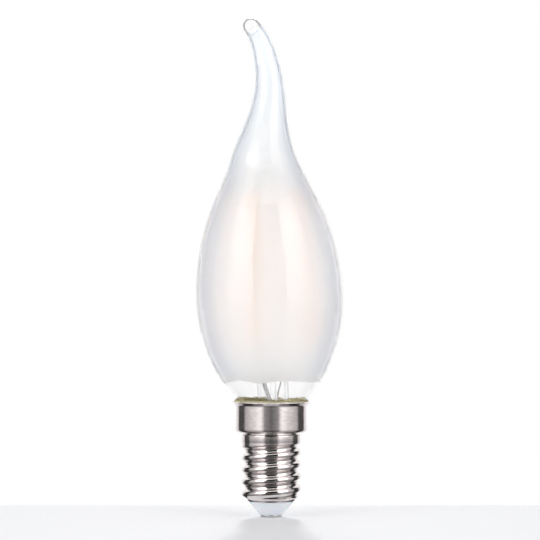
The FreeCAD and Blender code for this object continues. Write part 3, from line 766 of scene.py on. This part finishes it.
neutral = [
    (-PAD, BOARD_BACK, BOARD_TOP - SOLDERED), (-PAD, BOARD_BACK, BOARD_TOP + SOLDERED),
    (0, 7.98, 20.65), (0, 7.98, 23.1),
]
dressed(wire("neutral_wire_drawn", neutral, LEAD, lead_metal), lead_metal, "lead_metal", "neutral_wire")

# %% [markdown]
# The front lead wears its woven sleeve where it passes the clear neck. The sleeve is the same path, cut off
# at two heights and drawn thicker.

# %% The sleeve on the front lead
SLEEVE, SLEEVE_HIGH, SLEEVE_LOW = 0.47, 5.9, -6.6


def at_height(first, last, height):
    return first + (last - first) * ((height - first.z) / (last.z - first.z))


course = lead_corners[1]
top = at_height(course[0], course[1], SEAT.z + SLEEVE_HIGH)
end = at_height(course[2], course[3], SEAT.z + SLEEVE_LOW)
sleeve_piece = wire("lead_sleeve_braid", [top, course[1], course[2], end], SLEEVE, sleeve_fabric)
dressed(sleeve_piece, sleeve_fabric, "sleeve_fabric", "lead_sleeve")

# %% [markdown]
# ## The filaments
#
# An LED filament is a thin strip with a row of tiny diodes, all under one coat of yellow phosphor. The
# diodes lift the coat in small even lumps, so a tree sets a flat dome on each place, on both faces.

# %% The diode tree
die_tree, given = open_tree("diodes_in_a_row", "First", "Last", "Face", "Count", "Width", "Length", "Height")
lumps = []
for side in (1.0, -1.0):
    face = calc(die_tree, "MULTIPLY", given["Face"], side)
    low = add(die_tree, "ShaderNodeCombineXYZ", {"X": face, "Z": given["First"]}).outputs[0]
    high = add(die_tree, "ShaderNodeCombineXYZ", {"X": face, "Z": given["Last"]}).outputs[0]
    inputs = {"Count": given["Count"], "Start Location": low, "Offset": high}
    row = add(die_tree, "GeometryNodeMeshLine", inputs, mode="END_POINTS")
    dome = add(die_tree, "GeometryNodeMeshIcoSphere", {"Radius": 1.0, "Subdivisions": 2})
    lengths = {"X": given["Height"], "Y": given["Width"], "Z": given["Length"]}
    shape = add(die_tree, "ShaderNodeCombineXYZ", lengths)
    inputs = {"Points": row.outputs[0], "Instance": dome.outputs[0], "Scale": shape.outputs[0]}
    lumps.append(add(die_tree, "GeometryNodeInstanceOnPoints", inputs).outputs[0])
whole = die_tree.nodes.new("GeometryNodeJoinGeometry")
for part in (given["Geometry"], *lumps):
    die_tree.links.new(part, whole.inputs[0])
close_tree(die_tree, given, whole.outputs[0])

# %% [markdown]
# Phosphor is a matt, grainy powder in silicone. Through the frost it shows as a soft peach blur, so its
# colour is a warm peach, a touch deeper over each diode.

# %% Finish of the phosphor
phosphor, tree, shader = finish("phosphor", Roughness=0.6, Subsurface_Weight=0.15, Subsurface_Scale=0.0004)
powder = grain(tree, place(tree), 0.25, 4.0)
inputs = {"Vector": place(tree), "Scale": 250.0, "Distortion": 0.2}
rows = add(tree, "ShaderNodeTexWave", inputs, bands_direction="Z").outputs["Fac"]
tint = blend(tree, rows, (1.0, 0.56, 0.38, 1), (1.0, 0.64, 0.46, 1))
two_tone(tree, shader, powder, tint, (1.0, 0.68, 0.50, 1))
relief(tree, shader, powder, 0.04)
print("finish:", phosphor.name)

# %% [markdown]
# Each bar is a stack of rounded rectangles that narrows at both ends. It is made upright, where the diode
# tree can work along Z, and its mesh is then tilted, turned and carried to its place in the leaning glass.

# %% The four filaments
STRAP, WIDTH, DEPTH, ROUND = 2.9, 1.7, 1.1, 0.45
DIODE_WIDTH, DIODE_LENGTH, DIODE_HEIGHT, DIODE_SUNK = 0.5, 0.45, 0.05, 0.06
INWARDS, UPWARDS = FEET_REACH - HEADS_REACH, HEADS_LEVEL - FEET_LEVEL
SPAN = math.hypot(INWARDS, UPWARDS)
section_points = [
    (
        x * (DEPTH / 2 - ROUND) + ROUND * math.cos(math.radians(first + 22.5 * step)),
        y * (WIDTH / 2 - ROUND) + ROUND * math.sin(math.radians(first + 22.5 * step)),
    )
    for x, y, first in ((1, 1, 0), (-1, 1, 90), (-1, -1, 180), (1, -1, 270))
    for step in range(5)
]
stations = [(STRAP, 0.75), (STRAP + 0.12, 0.93), (STRAP + 0.4, 1.0)]
stations += [(SPAN - z, share) for z, share in reversed(stations)]
bar_points = [(x * share, y * share, z) for z, share in stations for x, y in section_points]
ring = len(section_points)
bar_faces = stacked(len(stations), ring) + lids(len(stations), ring)
lean = Matrix.Translation(SEAT * MM) @ LEAN.to_4x4()
foot = Matrix.Translation((FEET_REACH * MM, 0, FEET_LEVEL * MM))
tilt = Matrix.Rotation(-math.atan2(INWARDS, UPWARDS), 4, "Y")
for number in range(4):
    bar = mesh_piece(f"filament_{number + 1}_coat", bar_points, bar_faces)
    coat = grown(
        bar, die_tree, phosphor, first=(STRAP + 1.0) * MM, last=(SPAN - STRAP - 1.0) * MM,
        face=(DEPTH / 2 - DIODE_SUNK) * MM, count=24,
        width=DIODE_WIDTH * MM, length=DIODE_LENGTH * MM, height=DIODE_HEIGHT * MM,
    )
    turn = Matrix.Rotation(math.radians(AZIMUTH + 90 * number), 4, "Z")
    coat.data.transform(lean @ turn @ foot @ tilt)
    dressed(coat, phosphor, "phosphor", f"filament_{number + 1}")

# %% [markdown]
# ## The screw shell
#
# The shell is a cup of thin nickel-plated brass with a rolled thread and a flared mouth. Each point of the
# cup sinks by a depth that depends only on its height and direction, so a node tree can roll the thread. Its
# first half finds how far a point is from the nearest crest.

# %% The rolling tree: distance from a crest
roll_tree, given = open_tree("rolled_thread", "Pitch", "Depth", "Crest", "Major", "Runout")
roll = partial(calc, roll_tree)
spot = add(roll_tree, "GeometryNodeInputPosition", {}).outputs[0]
xyz = add(roll_tree, "ShaderNodeSeparateXYZ", {"Vector": spot}).outputs
turn = roll("DIVIDE", roll("ARCTAN2", xyz["Y"], xyz["X"]), 2 * math.pi)
lift = roll("MULTIPLY", roll("SUBTRACT", turn, 0.5), given["Pitch"])
rise = roll("SUBTRACT", roll("SUBTRACT", xyz["Z"], given["Crest"]), lift)
half = roll("MULTIPLY", given["Pitch"], 0.5)
quarter = roll("MULTIPLY", given["Pitch"], 0.25)
from_crest = roll("ABSOLUTE", roll("WRAP", rise, half, roll("MULTIPLY", half, -1.0)))
print("nodes so far:", len(roll_tree.nodes))

# %% [markdown]
# Crest and root of a lamp thread are arcs of one radius that touch half way down. How far such an arc falls
# away gives the depth, and the thread fades out below the plain band.

# %% The rolling tree: how deep a point sinks
FADE = 0.0009
deep = roll("MULTIPLY", given["Depth"], 0.5)
squares = roll("ADD", roll("MULTIPLY", quarter, quarter), roll("MULTIPLY", deep, deep))
round_off = roll("DIVIDE", squares, given["Depth"])


def sag(distance):
    """How far a circle of the thread's rounding falls away at a distance from its top."""
    left = roll("SUBTRACT", roll("POWER", round_off, 2.0), roll("POWER", distance, 2.0))
    return roll("SUBTRACT", round_off, roll("SQRT", left))


near_crest = sag(roll("MINIMUM", from_crest, quarter))
near_root = sag(roll("MINIMUM", roll("SUBTRACT", half, from_crest), quarter))
near_root = roll("SUBTRACT", given["Depth"], near_root)
is_root = roll("GREATER_THAN", from_crest, quarter)
sink = add(roll_tree, "ShaderNodeMix", {0: is_root, 2: near_crest, 3: near_root}).outputs[0]
fade = soft_ramp(roll_tree, xyz["Z"], given["Runout"], roll("SUBTRACT", given["Runout"], FADE))
rolled = roll("SUBTRACT", given["Major"], roll("MULTIPLY", sink, fade))
own = roll("SQRT", roll("ADD", roll("POWER", xyz["X"], 2.0), roll("POWER", xyz["Y"], 2.0)))
share = roll("DIVIDE", roll("MINIMUM", own, rolled), own)
lower = roll("LESS_THAN", xyz["Z"], given["Runout"])
share = add(roll_tree, "ShaderNodeMix", {0: lower, 2: 1.0, 3: share}).outputs[0]
moved = add(roll_tree, "ShaderNodeCombineXYZ", {
    "X": roll("MULTIPLY", xyz["X"], share), "Y": roll("MULTIPLY", xyz["Y"], share), "Z": xyz["Z"],
}).outputs[0]
pushed = add(roll_tree, "GeometryNodeSetPosition", {"Geometry": given["Geometry"], "Position": moved})
close_tree(roll_tree, given, pushed.outputs[0])

# %% [markdown]
# Nickel plate is bright, faintly warm and never quite even: fine lines run round the cap from its drawing,
# and handling has left a thin haze in patches.

# %% Finish of the shell
nickel, tree, shader = finish("nickel_plate", Metallic=1.0)
haze = grain(tree, place(tree), 3.0, 4.0, 0.6)
fine = grain(tree, place(tree, (0.6, 0.6, 3.0)), 0.8, 3.0)
tone = calc(tree, "MULTIPLY_ADD", between(tree, fine, -0.5, 0.5), 0.9, haze)
two_tone(tree, shader, tone, (0.77, 0.715, 0.70, 1), (0.90, 0.85, 0.83, 1))
rough = calc(tree, "ADD", between(tree, haze, 0.07, 0.14), between(tree, fine, 0.0, 0.05))
set_by(tree, shader, Roughness=rough)
relief(tree, shader, fine, 0.006, 0.5)
print("finish:", nickel.name)

# %% [markdown]
# The cup is turned first as an open sheet, with close rows where the thread will be. The tree rolls the
# thread in, and Solidify gives the wall last, so the inside follows the outside as in rolled metal.

# %% The shell
CREST, BAND, GROOVE, SKIRT, RIM, SHEET = 6.93, 6.945, 6.5, 8.5, 9.24, 0.3
THREAD_LOW, THREAD_HIGH, ROW_STEP = 5.0, 17.5, 0.13
threaded = [Vector((CREST, z)) for z in np.arange(THREAD_LOW, THREAD_HIGH, ROW_STEP)]
upper = bent(
    [
        (BAND, THREAD_HIGH), (BAND, 19.18), (GROOVE, 19.3), (GROOVE, 19.65),
        (SKIRT, 19.65), (SKIRT, 25.95), (RIM, 26.65),
    ],
    [0.1, 0.06, 0.08, 1.0, 0.5],
    6,
)
lower = bent([(5.6, 3.7), (5.6, 4.05), (CREST, THREAD_LOW)], [0.2], 4)
lead_in = [lower[-2].lerp(lower[-1], t) for t in (0.25, 0.5, 0.75)]
points, faces = turned(lower[:-1] + lead_in + threaded + upper, 160, closed=False)
sheet = mesh_piece("screw_shell_sheet", points, faces)
if sheet.data.polygons[0].normal.dot(sheet.data.polygons[0].center) < 0:
    sheet.data.flip_normals()
sheet.data.materials.append(nickel)
sheet = grown(
    sheet, roll_tree, nickel,
    pitch=2.822 * MM, depth=0.8 * MM, crest=10.9 * MM, major=CREST * MM, runout=17.4 * MM,
)
wall = sheet.modifiers.new("wall", "SOLIDIFY")
wall.thickness = SHEET * MM
wall.offset = -1
wall.use_even_offset = True
walled = flattened(sheet)
sheet.modifiers.clear()
sheet.data = walled
shaded(walled, CREASE)
dressed(sheet, nickel, "nickel_plate", "screw_shell")

# %% [markdown]
# ## The insulator and the centre contact
#
# Below the thread sits a moulded cone of pale, glossy insulator, and in its tip a riveted, rubbed metal disc,
# the centre contact. The insulator lets a little light in, so its colour goes deeper than its skin.

# %% Finishes of the insulator and the contact
pale = mottled(
    "insulator_body", (2.5, 3.0), (0.73, 0.765, 0.81, 1), (0.80, 0.83, 0.87, 1), bump=(0.05, 0.4),
    Roughness=0.22, IOR=1.52, Subsurface_Weight=0.3, Subsurface_Scale=0.0015,
    Coat_Weight=0.3, Coat_Roughness=0.12,
)
contact_plate = mottled(
    "contact_plate", (0.9, 4.0, 0.65), (0.50, 0.49, 0.48, 1), (0.70, 0.69, 0.67, 1),
    rough=(0.2, 0.42), bump=(0.02,), Metallic=1.0,
)

# %% [markdown]
# Both are turned outlines with soft edges. The insulator's collar reaches up into the shell, and the
# contact's shank goes up through the insulator.

# %% The insulator and the contact
CONE, COLLAR_REACH, BASE, SHANK = 5.4, 5.25, 0.5, 1.05
cone = bent(
    [
        (1.1, BASE), (2.75, BASE), (CONE, 3.7), (COLLAR_REACH, 3.7), (COLLAR_REACH, 5.4),
        (4.15, 5.4), (4.15, 4.25), (1.65, 1.6), (1.1, 1.6), (1.1, BASE),
    ],
    [0.25, 0.12, 0.02, 0.1, 0.1, 0.2, 0.2, 0],
    5,
)
points, faces = turned(cone[:-1], 96)
insulator = mesh_piece("insulator_cone", points, faces)
dressed(insulator, pale, "insulator_body", "insulator")

rivet = bent(
    [
        (0, 0.06), (0.9, 0.06), (1.3, 0.0), (2.5, 0.0), (2.5, BASE),
        (SHANK, BASE), (SHANK, 2.9), (0.6, 2.9), (0.6, 1.0), (0, 1.0),
    ],
    [0.1, 0.1, 0.22, 0.05, 0.05, 0.1, 0.1, 0.1],
    4,
)
points, faces = turned(rivet, 72)
contact = mesh_piece("contact_rivet", points, solid_faces(points, faces))
dressed(contact, contact_plate, "contact_plate", "centre_contact")

# %% [markdown]
# ## The cement
#
# The glass is glued into the cap with a heat-set cement, a brown-green, sandy paste. Fine noise makes the
# sand, and slow noise makes patches that took more heat.

# %% Finish of the cement
cement, tree, shader = finish("cement", Roughness=0.75)
sand = grain(tree, place(tree), 0.35, 5.0, 0.7)
patch = grain(tree, place(tree), 2.2, 2.0)
tone = blend(tree, patch, (0.20, 0.17, 0.065, 1), (0.38, 0.34, 0.17, 1))
two_tone(tree, shader, sand, tone, (0.46, 0.43, 0.27, 1))
relief(tree, shader, sand, 0.12)
print("finish:", cement.name)

# %% [markdown]
# The paste swells up unevenly between the glass and the rim. The ring is turned, and slow and quick bumps
# lift and dent its upper side.

# %% The cement
CEMENT_REACH, CEMENT_FOOT, NECK_GAP = 8.2, 23.3, 6.6
LIFTED, FULLY_LIFTED, DRAWN_IN, BUMP = 26.4, 27, 26.6, 0.3


def squeezed(angle, radius, height):
    """The paste's own height and reach, in one direction."""
    way = Vector((math.cos(angle), math.sin(angle), 0))
    slow = noise.noise(way * 2.3 + Vector((4.1, 0, 0)))
    quick = noise.noise(way * 9.0 + Vector((0, 7.7, 0)))
    if height > LIFTED:
        bump = min(max(0.35 * slow + BUMP * quick, -0.7), 0.42)
        height += bump * (1 if height > FULLY_LIFTED else 0.4)
    if height > DRAWN_IN and radius > CEMENT_REACH:
        radius += BUMP * quick - BUMP
    return radius, height


cement_corners = [
    (NECK_GAP, CEMENT_FOOT), (CEMENT_REACH, CEMENT_FOOT), (CEMENT_REACH, 25.73), (8.27, 26.05), (8.45, 26.4),
    (8.95, 26.88), (8.8, 27.35), (CEMENT_REACH, 27.48), (NECK_GAP, 27.45),
]
ring = bent(cement_corners, [0.1, 0, 0, 0, 0.15, 0.25, 0.1], 4)
points, faces = turned(ring, 192, change=squeezed)
cement_ring = mesh_piece("cement_ring", points, faces, SOFT_CREASE)
dressed(cement_ring, cement, "cement", "capping_cement")

# %% [markdown]
# ## The driver
#
# Inside the cap a small circuit board makes direct current for the filaments. None of it shows, so its
# solids stay as they are and only get finishes: a green board, black packages, a can and a ceramic resistor.

# %% Finishes of the driver
board, tree, shader = finish("board", Roughness=0.35, Coat_Weight=0.4, Coat_Roughness=0.1)
tracks = add(tree, "ShaderNodeTexBrick", {
    "Vector": place(tree), "Scale": 700.0, "Color1": (0.03, 0.16, 0.07, 1), "Color2": (0.04, 0.20, 0.09, 1),
    "Mortar": (0.32, 0.30, 0.12, 1), "Mortar Size": 0.03,
})
set_by(tree, shader, Base_Color=tracks.outputs["Color"])
print("finish:", board.name)

black_package = mottled(
    "black_package", (0.2, 3.0), (0.02, 0.02, 0.022, 1), (0.05, 0.05, 0.052, 1), bump=(0.02,), Roughness=0.55
)
can = mottled(
    "can", (0.3, 3.0), (0.66, 0.66, 0.68, 1), (0.80, 0.80, 0.81, 1),
    stretch=(1, 1, 0.06), rough=(0.25, 0.4), Metallic=1.0,
)
ceramic = mottled(
    "ceramic", (0.8, 3.0), (0.46, 0.60, 0.54, 1), (0.60, 0.72, 0.66, 1), bump=(0.03,), Roughness=0.4
)

# %% [markdown]
# A solid that keeps its own shape only gets its material. The filaments' straps are such solids too: flat
# bits of the same metal as the wires.

# %% The solids that stay
FINISH_OF_SOLID = {
    "circuit_board": board,
    "bridge_rectifier": black_package,
    "driver_chip": black_package,
    "smoothing_capacitor": can,
    "fusible_resistor": ceramic,
}
for number in range(4):
    for end in ("lower", "upper"):
        FINISH_OF_SOLID[f"filament_{number + 1}_{end}_tab"] = wire_metal
for name, surface in FINISH_OF_SOLID.items():
    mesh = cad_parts[name].data
    mesh.materials.clear()
    mesh.materials.append(surface)
print("solids that keep their own shape:", len(FINISH_OF_SOLID))

# %% [markdown]
# ## The studio
#
# The bulb stands on a pale, matt table. Past a line behind the bulb it turns into plain white for the camera
# and for what is seen through the glass, while it still throws light back as a table does.

# %% The floor
TABLE_REACH, TABLE_LEVEL = 900, -0.02
LOST_FROM, LOST_AT = 0.0255, 0.0275
floor_finish, tree, shader = finish("table_top", Roughness=0.85, Specular_IOR_Level=0.1)
soft = grain(tree, place(tree, (1, 0.25, 1)), 0.5, 2.0)
two_tone(tree, shader, soft, (0.71, 0.71, 0.72, 1), (0.77, 0.77, 0.78, 1))
far = soft_ramp(tree, along(tree, "Y"), LOST_FROM, LOST_AT)
path = tree.nodes.new("ShaderNodeLightPath").outputs
seen = calc(tree, "MAXIMUM", path["Is Camera Ray"], path["Is Transmission Ray"])
lost = calc(tree, "MULTIPLY", far, seen)
white = add(tree, "ShaderNodeEmission", {"Color": WHITE, "Strength": 1.0})
mixed = add(tree, "ShaderNodeMixShader", {0: lost, 1: shader.outputs[0], 2: white.outputs[0]})
tree.links.new(mixed.outputs[0], tree.nodes["Material Output"].inputs["Surface"])
corners = [(x * TABLE_REACH, y * TABLE_REACH, TABLE_LEVEL) for x, y in ((-1, -1), (1, -1), (1, 1), (-1, 1))]
floor = mesh_piece("table", corners, [(0, 1, 2, 3)])
floor.data.materials.append(floor_finish)
print("table:", TABLE_REACH * 2, "mm wide")

# %% [markdown]
# White behind the bulb must be exactly white in the picture and yet give no more light than a white room.
# Light Path tells the two apart: what is seen is plain white, and what lights the bulb is a little dimmer.

# %% The white surroundings
world = bpy.data.worlds.new("white")
bpy.context.scene.world = world
world.use_nodes = True
tree = world.node_tree
tree.nodes.clear()
path = tree.nodes.new("ShaderNodeLightPath").outputs
seen = calc(tree, "MAXIMUM", path["Is Camera Ray"], path["Is Glossy Ray"])
seen = calc(tree, "MAXIMUM", seen, path["Is Transmission Ray"])
plain = add(tree, "ShaderNodeBackground", {"Color": (0.98, 0.99, 1.0, 1), "Strength": 0.8})
white = add(tree, "ShaderNodeBackground", {"Color": WHITE, "Strength": 1.0})
mixed = add(tree, "ShaderNodeMixShader", {0: seen, 1: plain.outputs[0], 2: white.outputs[0]})
add(tree, "ShaderNodeOutputWorld", {"Surface": mixed.outputs[0]})
print("surroundings:", world.name)

# %% [markdown]
# Bright metal and glass show the studio, so it is written down as tones round the bulb: the dark room behind
# the camera, a soft box from about 27 to 60 degrees on each side, a grey wall, a black card, and white again
# behind. Sheets that only reflections see carry the tones, so they draw dark lines and shade nothing.

# %% A sheet of tones
def mirrored_tones(name, reach, tones, turn=0):
    """A sheet round the bulb. Reach has its distances, heights and shares of the tone."""
    ways, levels = zip(*tones)
    even = {round(float(way), 1) for way in np.arange(-ways[-1], ways[-1] + 0.1, 2)}
    fine = sorted(even | {-way for way in ways} | set(ways))
    points, shades = [], []
    for way in fine:
        angle = math.radians(way + turn)
        for away, level, share in reach:
            points.append((away * math.sin(angle), -away * math.cos(angle), level))
            shades.append(share * float(np.interp(abs(way), ways, levels)))
    rows = len(reach)
    faces = [
        (rows * i + j, rows * i + rows + j, rows * i + rows + j + 1, rows * i + j + 1)
        for i in range(len(fine) - 1)
        for j in range(rows - 1)
    ]
    sheet = mesh_piece(name, points, faces)
    sheet.data.attributes.new("tone", "FLOAT", "POINT").data.foreach_set("value", shades)
    material, tree, shader = finish(name + "_face", Base_Color=(0, 0, 0, 1))
    tone = add(tree, "ShaderNodeAttribute", {}, attribute_name="tone").outputs["Fac"]
    glow = add(tree, "ShaderNodeEmission", {"Color": (1.0, 0.97, 0.99, 1), "Strength": tone})
    tree.links.new(glow.outputs[0], tree.nodes["Material Output"].inputs["Surface"])
    sheet.data.materials.append(material)
    sheet.visible_camera = sheet.visible_diffuse = sheet.visible_shadow = False
    sheet.visible_transmission = False
    print(name, len(faces), "faces")


# %% [markdown]
# Three sheets carry them: a low band, a tall one whose two bright boxes leave the pillar between them on the
# glass, and a flat one over the table, with the softer tones that the cap sees there. Directions are in
# degrees from the camera's side.

# %% The cards
AFAR = 700
mirrored_tones("studio_cards", [(AFAR, 1, 1), (AFAR, 20, 1)], [
    (0, 0.03), (20, 0.05), (27, 0.9), (34, 1.2), (58, 1.1), (72, 0.62), (95, 0.5),
    (99, 0.1), (104, 0.03), (128, 0.03), (142, 1.0),
])
mirrored_tones("high_cards", [(AFAR, 21, 1), (AFAR, 850, 1)], [
    (0, 0.0), (26, 0.0), (27, 2.4), (60, 2.2), (72, 0.7), (95, 0.5),
    (99, 0.1), (104, 0.03), (128, 0.03), (142, 1.0),
], turn=1)
# Near the bulb the flat sheet's tones are lower: painted shade of the table under the cap, as the cap
# reflects it.
mirrored_tones("table_glow", [(9, 0.3, 0.3), (30, 0.4, 0.5), (90, 0.45, 0.95), (AFAR - 1, 0.5, 1)], [
    (0, 0.15), (8, 0.22), (20, 0.3), (23, 0.42), (28, 0.9), (34, 1.15), (42, 1.05), (52, 0.84),
    (75, 0.6), (87, 0.52), (91, 0.3), (95, 0.08), (122, 0.08), (127, 0.8), (142, 1.0),
])

# %% [markdown]
# The light itself comes from three area lamps: a soft box on each side in front, and a small one high behind
# the bulb, which throws the short shadow forwards over the table. They are hidden from the camera.

# %% The soft boxes
AIM = Vector((0, 0, 0.05))


def soft_box(name, degrees, distance, height, width, tall, power):
    light = bpy.data.lights.new(name, "AREA")
    light.shape = "RECTANGLE"
    light.size, light.size_y = width, tall
    light.energy = power
    box = linked(name, light)
    angle = math.radians(degrees)
    box.location = (distance * math.sin(angle), -distance * math.cos(angle), height)
    box.rotation_euler = (AIM - box.location).to_track_quat("-Z", "Y").to_euler()
    box.visible_camera = False
    print(name, power, "W")


soft_box("soft_box_left", -47, 0.7, 0.25, 0.5, 0.7, 2.0)
soft_box("soft_box_right", 47, 0.7, 0.25, 0.5, 0.7, 1.8)
soft_box("back_light", 180, 0.68, 0.34, 0.1, 0.1, 2.9)

# %% [markdown]
# ## The camera
#
# It stands about 46 cm in front of the cap's axis, a little lower than the belly's widest place, and looks
# slightly up. Its lens is long, so the bulb hardly tapers in the picture.

# %% The camera
STANDOFF, EYE_LEVEL, ASIDE, LOOK_UP = 0.464, 0.047, -0.00028, 0.52
lens = bpy.data.cameras.new("camera")
lens.lens = 132.34
lens.sensor_width = 36
lens.shift_y = 0.05
camera = linked("camera", lens)
camera.location = (ASIDE, -STANDOFF, EYE_LEVEL)
camera.rotation_euler = (math.radians(90 + LOOK_UP), 0, 0)
bpy.context.scene.camera = camera
print("camera at", list(camera.location))

# %% [markdown]
# Light crosses the front wall, the stem and the back wall. Cycles stops following it after a few bounces
# and leaves grey, so the bounces are raised. The blur that saves noise in bounced rays is switched off,
# because it turns clear glass dull.

# %% How far light is followed
bpy.context.scene.view_settings.view_transform = "Standard"
cycles = bpy.context.scene.cycles
cycles.max_bounces = 32
cycles.transmission_bounces = 32
cycles.glossy_bounces = 16
cycles.diffuse_bounces = 8
cycles.blur_glossy = 0.0
print("bounces:", cycles.max_bounces)
